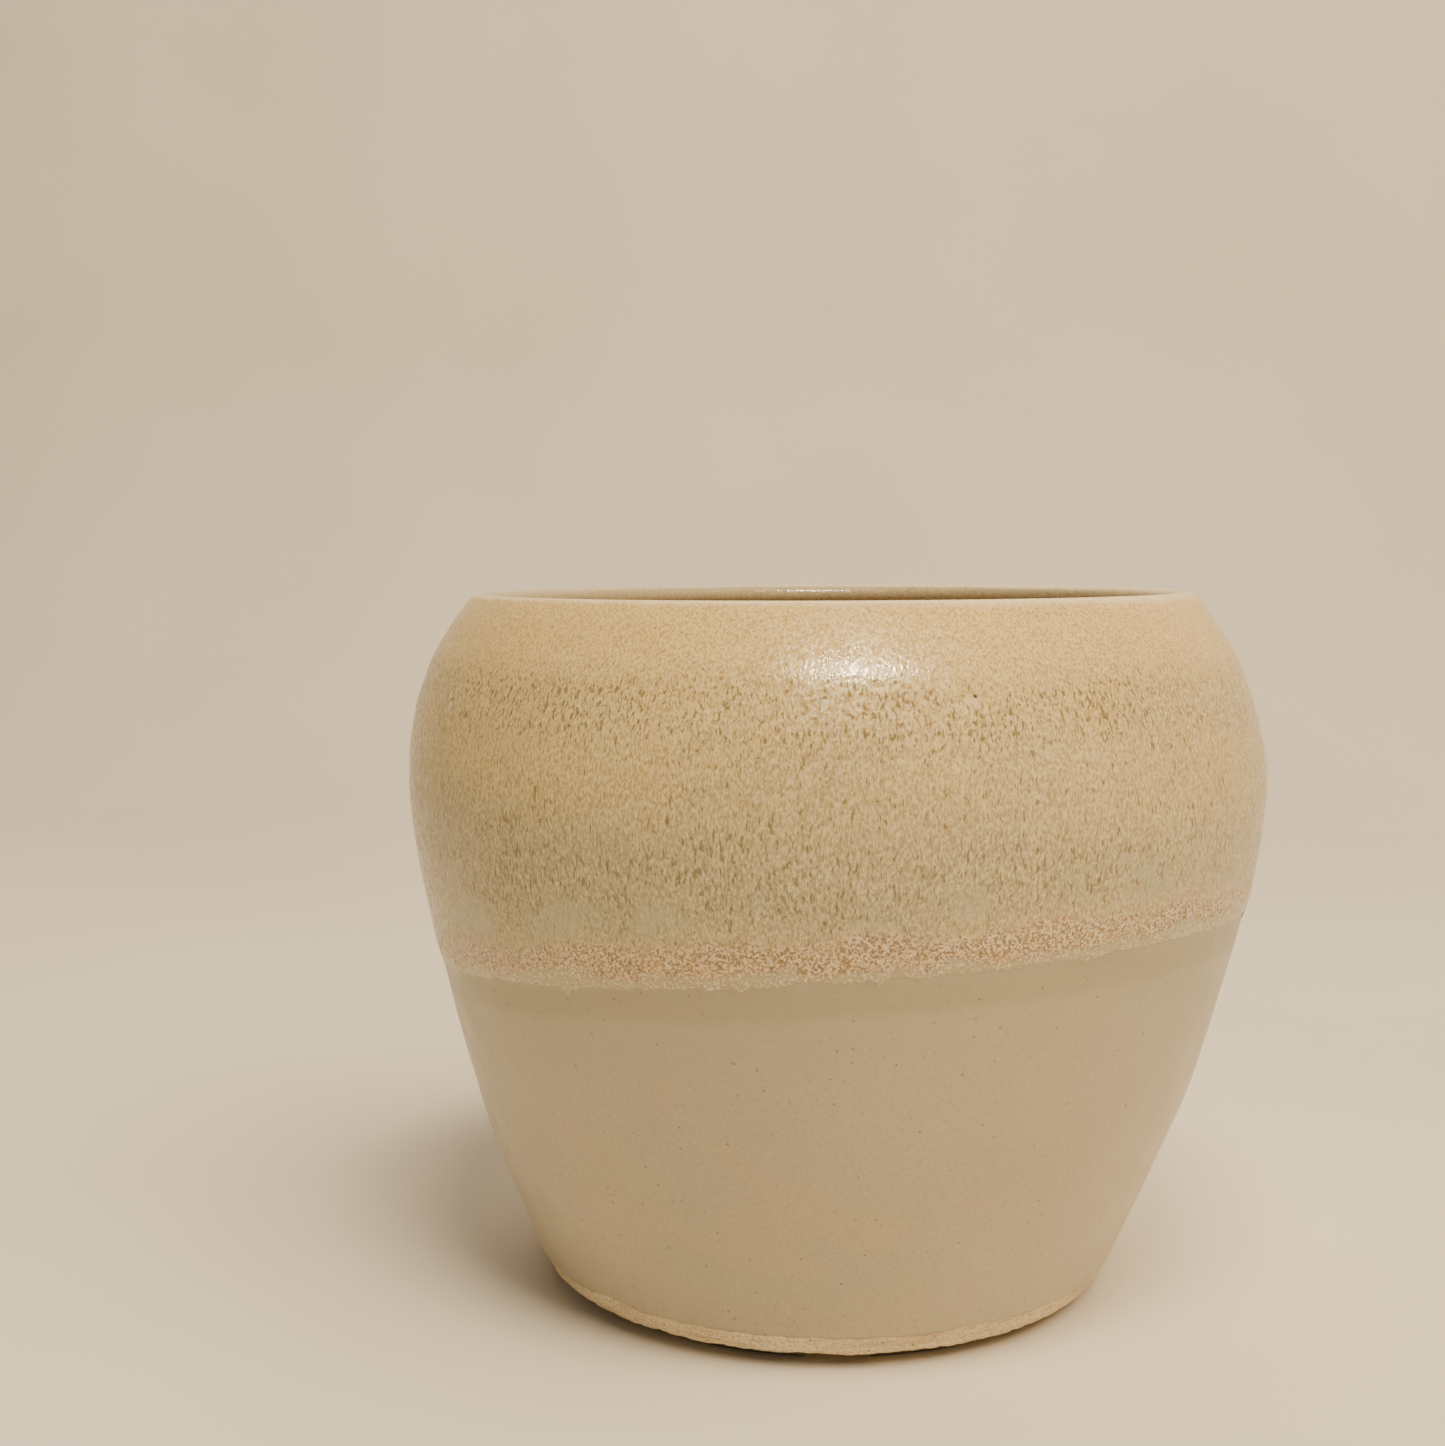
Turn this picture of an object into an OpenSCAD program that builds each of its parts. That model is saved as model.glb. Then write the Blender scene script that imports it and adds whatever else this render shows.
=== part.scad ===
// Hand-thrown round bonsai pot, ready for planting: a stoneware body under two
// coats of glaze, the net over its drain hole, and the wires that hold net and tree.
// Z is up, the pot stands on z = 0 about the Z axis, and its front faces -Y.

/* [Pot] */
// Radius over the glaze at the belly, the widest place
belly_r = 84; // [76:0.5:92]
// Height of the belly above the table
belly_z = 100.5; // [92:0.5:106]
// Height of the lip above the table
pot_h = 136.4; // [130:0.2:144]
// Radius over the glaze where the shoulder reaches the lip
lip_r = 70.4; // [68:0.2:74]
// Radius of the lower outer edge, the heel
heel_r = 57.3; // [55:0.1:60]
// Height of the heel above the table
heel_z = 2.5; // [2:0.1:4]
// Thickness of the clay wall at the belly and below
wall_t = 5.6; // [4.5:0.1:7]
// Thickness of the clay at the lip
lip_t = 2.6; // [2.2:0.1:3.2]
// Thickness of the floor
floor_t = 7; // [6:0.5:9]

/* [Foot] */
// Outer radius of the foot ring
ring_r = 52.5; // [50:0.5:54]
// Width of the foot ring
ring_w = 7; // [5:0.5:9]
// Height of the recess inside the foot ring
recess_h = 6; // [5.5:0.1:7]
// Width of the water notches through the foot ring
notch_w = 12; // [8:0.5:16]
// Height of the water notches
notch_h = 3; // [2:0.1:4]

/* [Glaze] */
// Thickness of the base glaze
base_t = 0.5; // [0.4:0.05:0.8]
// Thickness of the over-glaze
over_t = 0.45; // [0.35:0.05:0.8]
// Height at which the bare clay ends and the base glaze starts
bare_z = 5.8; // [5:0.1:9]
// Height of the over-glaze edge at the pot's axis
line_z = 69; // [60:0.5:80]
// Slope of the over-glaze edge towards +X, in degrees
line_tilt_x = 4.1; // [-8:0.1:8]
// Slope of the over-glaze edge towards -Y, in degrees
line_tilt_y = 4.5; // [-8:0.1:8]
// How far both glazes run down inside the lip
inside_drop = 24; // [12:1:30]

/* [Drainage] */
// Diameter of the drain hole
drain_d = 26; // [26:0.5:28]
// Distance between the strands of the net
net_pitch = 3; // [3:0.1:3.1]
// Openings along each side of the net, an odd number
net_count = 11; // [11:2:13]
// Width of one strand of the net
strand_w = 0.9; // [0.7:0.1:1]
// Thickness of the net
net_t = 1.2; // [1:0.1:1.5]
// Diameter of the clip wire
clip_d = 1.2; // [1:0.1:1.3]
// Length of each folded clip foot
clip_foot_l = 12; // [8:0.5:16]

/* [Anchor wires] */
// Diameter of the anchor wire
wire_d = 2; // [1.5:0.1:2.5]
// Diameter of the wire holes in the floor
wire_hole_d = 4.2; // [3.6:0.1:5]
// Distance of the wire holes from the YZ plane
hole_x = 30; // [26:0.5:34]
// Distance of each wire's middle from the XZ plane
hole_y = 16; // [15:0.5:20]
// Half the sideways step between the two holes of one wire
hole_step = 2.5; // [2:0.1:4]
// Length of each free tail
tail_l = 108; // [60:1:110]
// Outward lean of the tails from the vertical, in degrees
tail_lean = 19; // [10:0.5:20]

/* [Hidden] */

// The wall's outline below and above the belly: powers of the height from it
low_power = 1.57;
high_power = 2.27;
wall_step = 6;          // height between two points of the outline
lip_turn = 15;          // angle between two points of a rounded outline
thin_from = 0.35;       // share of the shoulder at which the wall starts to thin
corner_r = 10;          // round inner corner between floor and wall
ring_taper = 0.6;       // how far each side of the foot ring slopes in towards the table
heel_bevel_w = 0.8;     // bevel under the heel, across
heel_bevel_h = 0.3;     // bevel under the heel, upwards
line_fall = 20;         // the over-glaze starts less than this below line_z anywhere
notch_count = 3;
notch_turn = 30;        // direction of the first water notch
past = 1;               // how far a cut runs past the face it opens
bend_gap = 0.05;        // gap between a wire's fixed end and the knuckle of its free end
knuckle_w = 0.6;        // width of a knuckle's round outside, in wire diameters
wire_bend_r = 1.5;      // bend radius of the tie wire, at its middle
clip_opening = 4;       // the clip's legs drop through these openings, counted from the middle
clip_gap = 0.1;         // gap between a clip foot and the clay above it
tail_rise = 0.6;        // gap between a tail laid flat and the floor under it
round_fn = 96;
loop_fn = 64;
wire_fn = 32;

floor_z = recess_h + floor_t;
glaze_t = base_t + over_t;
lip_half = lip_t / 2 + glaze_t;
// The shoulder ends where the round lip, which leans in with it, reaches pot_h
top_slope = shoulder_slope(pot_h - lip_half);
top_z = pot_h - lip_half * (1 - sin(atan(-top_slope)));
lip_c = under(top_z, lip_half);
lip_lean = atan(-slope(top_z));
net_side = net_count * net_pitch + strand_w;
clip_leg_x = clip_opening * net_pitch;
clip_z = floor_z + net_t + clip_d / 2;
clip_foot_z = recess_h - clip_d / 2 - clip_gap;
clip_loop_r = 3;
bar_z = recess_h - wire_d / 2;
bend_z = floor_z + wire_d / 2 + tail_rise;

// Radius over both glazes, its slope, and the slope of the shoulder alone
function shoulder_slope(z) = -(belly_r - lip_r) * high_power / (pot_h - belly_z)
    * pow((z - belly_z) / (pot_h - belly_z), high_power - 1);
function slope(z) = z < belly_z
    ? (belly_r - heel_r) * low_power / (belly_z - heel_z)
        * pow((belly_z - z) / (belly_z - heel_z), low_power - 1)
    : shoulder_slope(z);
function outer_r(z) = z < belly_z
    ? belly_r - (belly_r - heel_r) * pow((belly_z - z) / (belly_z - heel_z), low_power)
    : belly_r - (belly_r - lip_r) * pow((z - belly_z) / (pot_h - belly_z), high_power);

// The point [radius, height] at a depth square to the outer surface at height z
function under(z, depth) =
    let (s = slope(z), n = sqrt(1 + s * s))
    [outer_r(z) - depth / n, z + depth * s / n];

// Thickness of the clay: even up to the shoulder, then thinning to the lip
function clay_t(z) =
    let (thin_z = belly_z + thin_from * (top_z - belly_z))
    z < thin_z ? wall_t
        : wall_t - (wall_t - lip_t) * sin(90 * (z - thin_z) / (top_z - thin_z));

// Heights of the outline's points from z1 up to the lip
function heights(z1) =
    let (n = ceil((top_z - z1) / wall_step))
    [for (i = [0 : n]) z1 + (top_z - z1) * i / n];
function backwards(list) = [for (i = [len(list) - 1 : -1 : 0]) list[i]];

// One surface of the wall, up the outside from z1, round the lip and down the
// inside to z2: cover is how much glaze lies inside that surface
function around(z1, z2, cover) = concat(
    [for (z = heights(z1)) under(z, glaze_t - cover)],
    [for (a = [lip_lean + lip_turn : lip_turn : lip_lean + 180 - lip_turn])
        lip_c + (lip_half - glaze_t + cover) * [cos(a), sin(a)]],
    backwards([for (z = heights(z2)) under(z, glaze_t + clay_t(z) + cover)]));

// A coat of glaze between two covers
module coat(z1, z2, inner, outer) {
    rotate_extrude($fn = round_fn)
        polygon(concat(around(z1, z2, outer), backwards(around(z1, z2, inner))));
}

// Everything on and above the tilted edge of the over-glaze
module above_line() {
    reach = 2 * belly_r;
    translate([0, 0, line_z])
        rotate([-line_tilt_y, -line_tilt_x, 0])
            translate([-reach, -reach, 0])
                cube([2 * reach, 2 * reach, reach]);
}

// The round inner corner, from the floor to where the wall takes over
corner_z = floor_z + corner_r;
corner_top = under(corner_z, glaze_t + wall_t);
corner_points = [for (a = [270 : lip_turn : 360 - lip_turn])
    [corner_top[0] - corner_r, corner_z] + corner_r * [cos(a), sin(a)]];

module clay_body() {
    color([0.80, 0.64, 0.44])
    difference() {
        rotate_extrude($fn = round_fn)
            polygon(concat(
                [[0, recess_h], [ring_r - ring_w, recess_h],
                 [ring_r - ring_w + ring_taper, 0], [ring_r - ring_taper, 0],
                 [ring_r, heel_z - heel_bevel_h],
                 [heel_r - glaze_t - heel_bevel_w, heel_z - heel_bevel_h]],
                around(heel_z, corner_z, 0),
                backwards(corner_points),
                [[0, floor_z]]));
        translate([0, 0, -past])
            cylinder(h = floor_z + 2 * past, d = drain_d, $fn = round_fn);
        for (x = [-1, 1], y = [-1, 1])
            translate([x * hole_x, y * hole_y + x * hole_step, -past])
                cylinder(h = floor_z + 2 * past, d = wire_hole_d, $fn = wire_fn);
        for (i = [0 : notch_count - 1])
            rotate(notch_turn + i * 360 / notch_count)
                translate([ring_r - ring_w - past, -notch_w / 2, -past])
                    cube([ring_w + 2 * past, notch_w, notch_h + past]);
    }
}

module base_glaze() {
    color([0.78, 0.68, 0.55])
        coat(bare_z, pot_h - inside_drop, 0, base_t);
}

module over_glaze() {
    color([0.86, 0.72, 0.52])
    intersection() {
        coat(line_z - line_fall, pot_h - inside_drop, base_t, glaze_t);
        above_line();
    }
}

// Square plastic net over the drain hole
module drain_screen() {
    color([0.13, 0.14, 0.13])
    translate([0, 0, floor_z])
    linear_extrude(net_t)
    difference() {
        square(net_side, center = true);
        for (i = [0 : net_count - 1], j = [0 : net_count - 1])
            translate([i - (net_count - 1) / 2, j - (net_count - 1) / 2] * net_pitch)
                square(net_pitch - strand_w, center = true);
    }
}

// A straight length of round wire from one point to another
module rod(from, to, d) {
    v = to - from;
    l = norm(v);
    translate(from)
        rotate([0, acos(v[2] / l), atan2(v[1], v[0])])
            cylinder(h = l, d = d, $fn = wire_fn);
}

module ball(at, d) {
    translate(at)
        sphere(d = d, $fn = wire_fn);
}

// The round outside of a bend that turns about Y
module knuckle(at, d) {
    ball(at, d);
    rod(at - [0, knuckle_w * d / 2, 0], at + [0, knuckle_w * d / 2, 0], d);
}

// The clip: a bridge over the net, a loop at each end, and two legs down the hole
module screen_clip() {
    color([0.72, 0.72, 0.74]) {
        rod([-clip_leg_x, 0, clip_z], [clip_leg_x, 0, clip_z], clip_d);
        for (side = [-1, 1]) {
            ball([side * clip_leg_x, 0, clip_z], clip_d);
            rod([side * clip_leg_x, 0, clip_foot_z + clip_d / 2 + bend_gap],
                [side * clip_leg_x, 0, clip_z], clip_d);
            translate([side * (clip_leg_x + clip_loop_r), 0, clip_z])
                rotate_extrude($fn = loop_fn)
                    translate([clip_loop_r, 0])
                        circle(d = clip_d, $fn = wire_fn);
        }
    }
}

// A foot of the clip, folded flat under the floor
module clip_foot(side) {
    bend = [side * clip_leg_x, 0, clip_foot_z];
    color([0.72, 0.72, 0.74]) {
        knuckle(bend, clip_d);
        rod(bend, bend + [side * clip_foot_l, 0, 0], clip_d);
    }
}

// Where a wire's free tail starts, at the left (-1) or right (1) hole
function bend_at(x, y) = [x * hole_x, y * hole_y + x * hole_step, bend_z];

// The middle of an anchor wire: a bar under the floor, bent up into two risers.
// It slants across the pot, so that its two tails swing in planes side by side
module anchor_wire(y) {
    half_l = norm([hole_x, hole_step]);
    color([0.36, 0.24, 0.16])
    translate([0, y * hole_y, 0])
    rotate(atan2(hole_step, hole_x)) {
        rod([wire_bend_r - half_l, 0, bar_z], [half_l - wire_bend_r, 0, bar_z], wire_d);
        for (x = [0, 1])
            mirror([x, 0, 0]) {
                translate([half_l - wire_bend_r, 0, bar_z + wire_bend_r])
                    rotate([90, 0, 0])
                        rotate(-90)
                            rotate_extrude(angle = 90, $fn = wire_fn)
                                translate([wire_bend_r, 0])
                                    circle(d = wire_d, $fn = wire_fn);
                rod([half_l, 0, bar_z + wire_bend_r],
                    [half_l, 0, bend_z - wire_d / 2 - bend_gap], wire_d);
            }
    }
}

// A free tail, leaning out towards the wall
module tail(x, y) {
    color([0.36, 0.24, 0.16]) {
        knuckle(bend_at(x, y), wire_d);
        rod(bend_at(x, y),
            bend_at(x, y) + tail_l * [x * sin(tail_lean), 0, cos(tail_lean)], wire_d);
    }
}

clay_body();
base_glaze();
over_glaze();
drain_screen();
screen_clip();
clip_foot(-1);  // clip_foot_left
clip_foot(1);  // clip_foot_right
anchor_wire(-1);  // anchor_wire_front
anchor_wire(1);  // anchor_wire_back
tail(-1, -1);  // tail_front_left
tail(1, -1);  // tail_front_right
tail(-1, 1);  // tail_back_left
tail(1, 1);  // tail_back_right
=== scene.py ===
"""Looks of the hand-thrown bonsai pot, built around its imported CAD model."""

import math

import bpy
import numpy as np
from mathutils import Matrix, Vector, noise


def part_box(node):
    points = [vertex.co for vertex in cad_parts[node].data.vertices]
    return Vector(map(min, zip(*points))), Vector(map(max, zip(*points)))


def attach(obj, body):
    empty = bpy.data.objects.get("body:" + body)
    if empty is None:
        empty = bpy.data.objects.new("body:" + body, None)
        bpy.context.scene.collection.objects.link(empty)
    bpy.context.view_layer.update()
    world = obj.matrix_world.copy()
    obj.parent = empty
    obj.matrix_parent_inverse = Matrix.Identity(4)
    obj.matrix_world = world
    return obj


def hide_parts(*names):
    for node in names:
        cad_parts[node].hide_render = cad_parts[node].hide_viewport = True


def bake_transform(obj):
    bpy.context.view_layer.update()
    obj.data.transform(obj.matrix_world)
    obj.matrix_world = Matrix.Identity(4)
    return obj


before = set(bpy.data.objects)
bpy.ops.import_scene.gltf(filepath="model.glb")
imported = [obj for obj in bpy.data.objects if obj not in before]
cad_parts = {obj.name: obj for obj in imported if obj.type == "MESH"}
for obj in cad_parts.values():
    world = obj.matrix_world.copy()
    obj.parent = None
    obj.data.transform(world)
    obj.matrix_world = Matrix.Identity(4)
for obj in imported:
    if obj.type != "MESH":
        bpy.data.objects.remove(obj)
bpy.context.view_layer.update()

MM = 0.001
TAU = 2 * math.pi

# ---------------------------------------------------------------- the pot's sizes, in mm


def box_mm(node):
    """Lowest and highest corners of a CAD node, in mm."""
    low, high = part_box(node)
    return np.array(low) / MM, np.array(high) / MM


BELLY_R = box_mm("over_glaze")[1][0]
POT_H = box_mm("over_glaze")[1][2]
INSIDE_END = 112.4  # height at which the glazes end inside
BARE_Z = box_mm("base_glaze")[0][2]
OVER_T = 0.45  # thickness of the over-glaze
BASE_T = BELLY_R - box_mm("clay_body")[1][0] - OVER_T
GLAZE_T = BASE_T + OVER_T
FLOOR_Z = box_mm("drain_screen")[0][2]
NET_T = box_mm("drain_screen")[1][2] - FLOOR_Z

# The wall's outline, the same formula as the CAD model's
BELLY_Z = 100.5
LIP_R = 70.4
HEEL_R = 57.3
HEEL_Z = 2.5
LOW_POWER = 1.57
HIGH_POWER = 2.27
WALL_T = 5.6
LIP_T = 2.6
LIP_HALF = LIP_T / 2 + GLAZE_T
THIN_FROM = 0.35  # share of the way from belly to lip at which the clay starts to thin

# The over-glaze's edge: its height at the axis, and how steeply it rises to +X and to -Y
LINE_Z = 69.0
LINE_TILT_X = math.radians(4.1)
LINE_TILT_Y = math.radians(4.5)

# Foot, floor and drainage, as in the CAD model
RING_R = 52.5
RING_W = 7.0
RECESS_H = 6.0
NOTCH_W = 12.0
NOTCH_H = 3.0
NOTCH_DIRECTIONS = (30, 150, 270)  # degrees
CORNER_R = 10.0
DRAIN_R = 13.0
WIRE_HOLE_R = 2.1
HOLE_X = 30.0
HOLE_Y = 16.0
HOLE_STEP = 2.5  # how far the left and right holes of a row are offset in Y, each way


def slope(z):
    """How fast the outside's radius grows with height."""
    low = (BELLY_R - HEEL_R) * LOW_POWER / (BELLY_Z - HEEL_Z)
    high = (BELLY_R - LIP_R) * HIGH_POWER / (POT_H - BELLY_Z)
    below = np.clip((BELLY_Z - z) / (BELLY_Z - HEEL_Z), 0, None)
    above = np.clip((z - BELLY_Z) / (POT_H - BELLY_Z), 0, None)
    return low * below ** (LOW_POWER - 1) - high * above ** (HIGH_POWER - 1)


def outer_r(z):
    """Radius of the glazed outside at a height."""
    below = np.clip((BELLY_Z - z) / (BELLY_Z - HEEL_Z), 0, None)
    above = np.clip((z - BELLY_Z) / (POT_H - BELLY_Z), 0, None)
    return (
        BELLY_R
        - (BELLY_R - HEEL_R) * below**LOW_POWER
        - (BELLY_R - LIP_R) * above**HIGH_POWER
    )


# The wall ends and the round lip starts at TOP_Z, where the wall leans in by LIP_LEAN
TOP_Z = POT_H - LIP_HALF * (1 - math.sin(math.atan(-slope(POT_H - LIP_HALF))))
LIP_LEAN = math.atan(-slope(TOP_Z))


def clay_t(z):
    """Thickness of the clay: even up to the shoulder, then thinning to the lip."""
    thin_z = BELLY_Z + THIN_FROM * (TOP_Z - BELLY_Z)
    share = np.clip((z - thin_z) / (TOP_Z - thin_z), 0, 1)
    return WALL_T - (WALL_T - LIP_T) * np.sin(share * math.pi / 2)


# ---------------------------------------------------------------- hand-made irregularity

# Swells that the potter's fingers left in the wall: (height, how far it stands out)
SWELLS = (
    (0, 0.0),
    (10, -0.1),
    (37, 0.36),
    (64, -0.13),
    (94, 0.28),
    (118, -0.2),
    (126, 0.05),
    (137, 0.0),
)
# How far the wall has drifted off the axis towards +X: (height, distance)
DRIFT = ((0, 0.0), (25, 0.3), (45, 1.15), (80, 1.65), (100, 1.6), (118, 1.05), (137, 0.85))
RIM_TILT = math.radians(0.27)  # the rim stands a little higher towards +X
RIDGE_Z = 103.5  # height of one throwing ridge that shows through the glaze
RIDGE_RISE = 0.14
RIDGE_HALF_W = 2.3
RING_PITCH = 8.7  # height from one throwing ring to the next


def smooth_steps(z, points):
    """Passes through (z, value) points with level turns at each."""
    z = np.asarray(z, float)
    value = np.full(z.shape, float(points[0][1]))
    for (z0, v0), (z1, v1) in zip(points, points[1:]):
        t = np.clip((z - z0) / (z1 - z0), 0, 1)
        value += (v1 - v0) * t * t * (3 - 2 * t)
    return value


def fbm(points, scale, octaves=3):
    """Fractal noise of about -1 to 1 at each point of an array [..., 3] in mm."""
    flat = np.asarray(points, float).reshape(-1, 3) / scale
    values = [noise.fractal(Vector(p), 0.9, 2.1, octaves) for p in flat]
    return np.array(values).reshape(np.shape(points)[:-1])


def relief(z, turn):
    """How far the whole wall stands out of the plain outline, in mm."""
    out_of_round = 0.15 * np.cos(2 * turn + 0.6) + 0.12 * np.cos(3 * turn + 2.1)
    height = np.clip(z / 60, 0, 1)
    upper = np.clip((z - 70) / 25, 0, 1)
    rings = (0.015 + 0.04 * upper) * np.sin(TAU * z / RING_PITCH + 0.8 * np.sin(turn))
    ridge = RIDGE_RISE * np.exp(-(((z - RIDGE_Z) / RIDGE_HALF_W) ** 2))
    ridge = ridge * (0.55 + 0.45 * np.cos(turn + 0.7))
    return smooth_steps(z, SWELLS) + out_of_round * height + rings + ridge


def hand_made(r, z, turn):
    """Points [..., 3] of a wall that has drifted, with its rim slightly tilted."""
    x = r * np.cos(turn) + smooth_steps(z, DRIFT)
    tilt = math.tan(RIM_TILT) * x * np.clip(z / POT_H, 0, 1) ** 2
    return np.stack([x, r * np.sin(turn), z + tilt], axis=-1)


def on_wall(z, turn, depth):
    """Points [..., 3] at a depth square to the glazed outside, with the relief."""
    z, turn, depth = np.broadcast_arrays(z, turn, depth)
    s = slope(z)
    n = np.sqrt(1 + s * s)
    r = outer_r(z) - depth / n + relief(z, turn)
    return hand_made(r, z + depth * s / n, turn)


def round_lip(turn, cover, start=0.0, end=1.0, rows=16):
    """Rows of points round the lip, cover mm outside the clay."""
    lean = LIP_LEAN + math.pi * np.linspace(start, end, rows)[:, None]
    n = math.sqrt(1 + float(slope(TOP_Z)) ** 2)
    centre_r = outer_r(TOP_Z) - LIP_HALF / n + relief(np.array(TOP_Z), turn)
    centre_z = TOP_Z + LIP_HALF * float(slope(TOP_Z)) / n
    radius = LIP_HALF - GLAZE_T + cover
    r = centre_r + radius * np.cos(lean)
    z = centre_z + radius * np.sin(lean) + 0 * turn
    return hand_made(r, z, turn + 0 * lean)


# ---------------------------------------------------------------- mesh helpers


def link(name, data):
    """A new object in the scene that holds a mesh, light or camera."""
    piece = bpy.data.objects.new(name, data)
    bpy.context.collection.objects.link(piece)
    return piece


def grid_piece(name, points):
    """A closed piece from rows of points in mm, [rows, turns, 3], closed both ways."""
    rows, turns = points.shape[:2]
    index = np.arange(rows * turns).reshape(rows, turns)
    beside = np.roll(index, -1, axis=1)
    quads = np.stack(
        [index, beside, np.roll(beside, -1, axis=0), np.roll(index, -1, axis=0)], axis=-1
    ).reshape(-1, 4)
    mesh = bpy.data.meshes.new(name)
    mesh.vertices.add(rows * turns)
    mesh.vertices.foreach_set("co", (points.reshape(-1) * MM).astype(np.float32))
    mesh.loops.add(quads.size)
    mesh.loops.foreach_set("vertex_index", quads.reshape(-1))
    mesh.polygons.add(len(quads))
    mesh.polygons.foreach_set("loop_start", np.arange(0, quads.size, 4))
    mesh.update(calc_edges=True)
    mesh.validate()
    mesh.shade_smooth()
    return link(name, mesh)


CAP_DEGREES = (90, 60, 30)  # rings of a wire's rounded end, from its tip
CAP_DEPTH = 0.35  # how far a rounded end stands out, in radii
TIP_R = 0.02  # radius of the tip's ring, in radii


def tube_piece(name, route, radius, sides):
    """A round wire along points in mm, with rounded ends."""
    route = np.array(route, float)
    steps = np.diff(route, axis=0)
    ahead = np.vstack([steps[:1], steps[:-1] + steps[1:], steps[-1:]])
    ahead /= np.linalg.norm(ahead, axis=1)[:, None]
    cap = np.radians(CAP_DEGREES)
    side = np.cross(ahead[0], [0.3, 1.0, 0.2])
    centres, normals, radii = [], [], []
    for a in cap:
        centres.append(route[0] - ahead[0] * radius * CAP_DEPTH * math.sin(a))
        normals.append(ahead[0])
        radii.append(max(radius * math.cos(a), radius * TIP_R))
    for point, way in zip(route, ahead):
        centres.append(point)
        normals.append(way)
        radii.append(radius)
    for a in cap[::-1]:
        centres.append(route[-1] + ahead[-1] * radius * CAP_DEPTH * math.sin(a))
        normals.append(ahead[-1])
        radii.append(max(radius * math.cos(a), radius * TIP_R))
    turn = np.linspace(0, TAU, sides, endpoint=False)
    vertices, faces = [], []
    for centre, way, r in zip(centres, normals, radii):
        side = side - way * np.dot(side, way)
        side /= np.linalg.norm(side)
        across = np.cross(way, side)
        ring = centre + r * (np.cos(turn)[:, None] * side + np.sin(turn)[:, None] * across)
        vertices.extend(ring * MM)
    rings = len(centres)
    for i in range(rings - 1):
        for j in range(sides):
            k = (j + 1) % sides
            faces.append((i * sides + j, i * sides + k, (i + 1) * sides + k, (i + 1) * sides + j))
    faces.append(tuple(reversed(range(sides))))
    faces.append(tuple((rings - 1) * sides + j for j in range(sides)))
    mesh = bpy.data.meshes.new(name)
    mesh.from_pydata([tuple(v) for v in vertices], [], faces)
    mesh.update()
    mesh.shade_smooth()
    return link(name, mesh)


LONGEST_STEP = 2.0  # mm between a route's points on its straight stretches
SAME_POINT = 1e-6  # mm under which two points count as one


def rounded_route(corners, radii, step=0.5):
    """A route through corner points in mm, with an arc of the given radius at each."""
    corners = [np.array(c, float) for c in corners]
    route = [corners[0]]
    for before, corner, after, radius in zip(corners, corners[1:], corners[2:], radii):
        way_in = (corner - before) / np.linalg.norm(corner - before)
        way_out = (after - corner) / np.linalg.norm(after - corner)
        turn = math.acos(np.clip(np.dot(way_in, way_out), -1, 1))
        reach = radius * math.tan(turn / 2)
        start = corner - way_in * reach
        aside = way_out - way_in * np.dot(way_out, way_in)
        aside /= np.linalg.norm(aside)
        centre = start + aside * radius
        count = max(3, round(turn * radius / step))
        for a in np.linspace(0, turn, count + 1):
            route.append(centre - aside * radius * math.cos(a) + way_in * radius * math.sin(a))
    route.append(corners[-1])
    even = [route[0]]
    for point in route[1:]:
        gap = point - even[-1]
        length = np.linalg.norm(gap)
        if length < SAME_POINT:
            continue
        pieces = max(1, int(length // LONGEST_STEP))
        last = even[-1]
        even.extend([last + gap * (i + 1) / pieces for i in range(pieces)])
    return even


# ---------------------------------------------------------------- shader helpers


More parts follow.
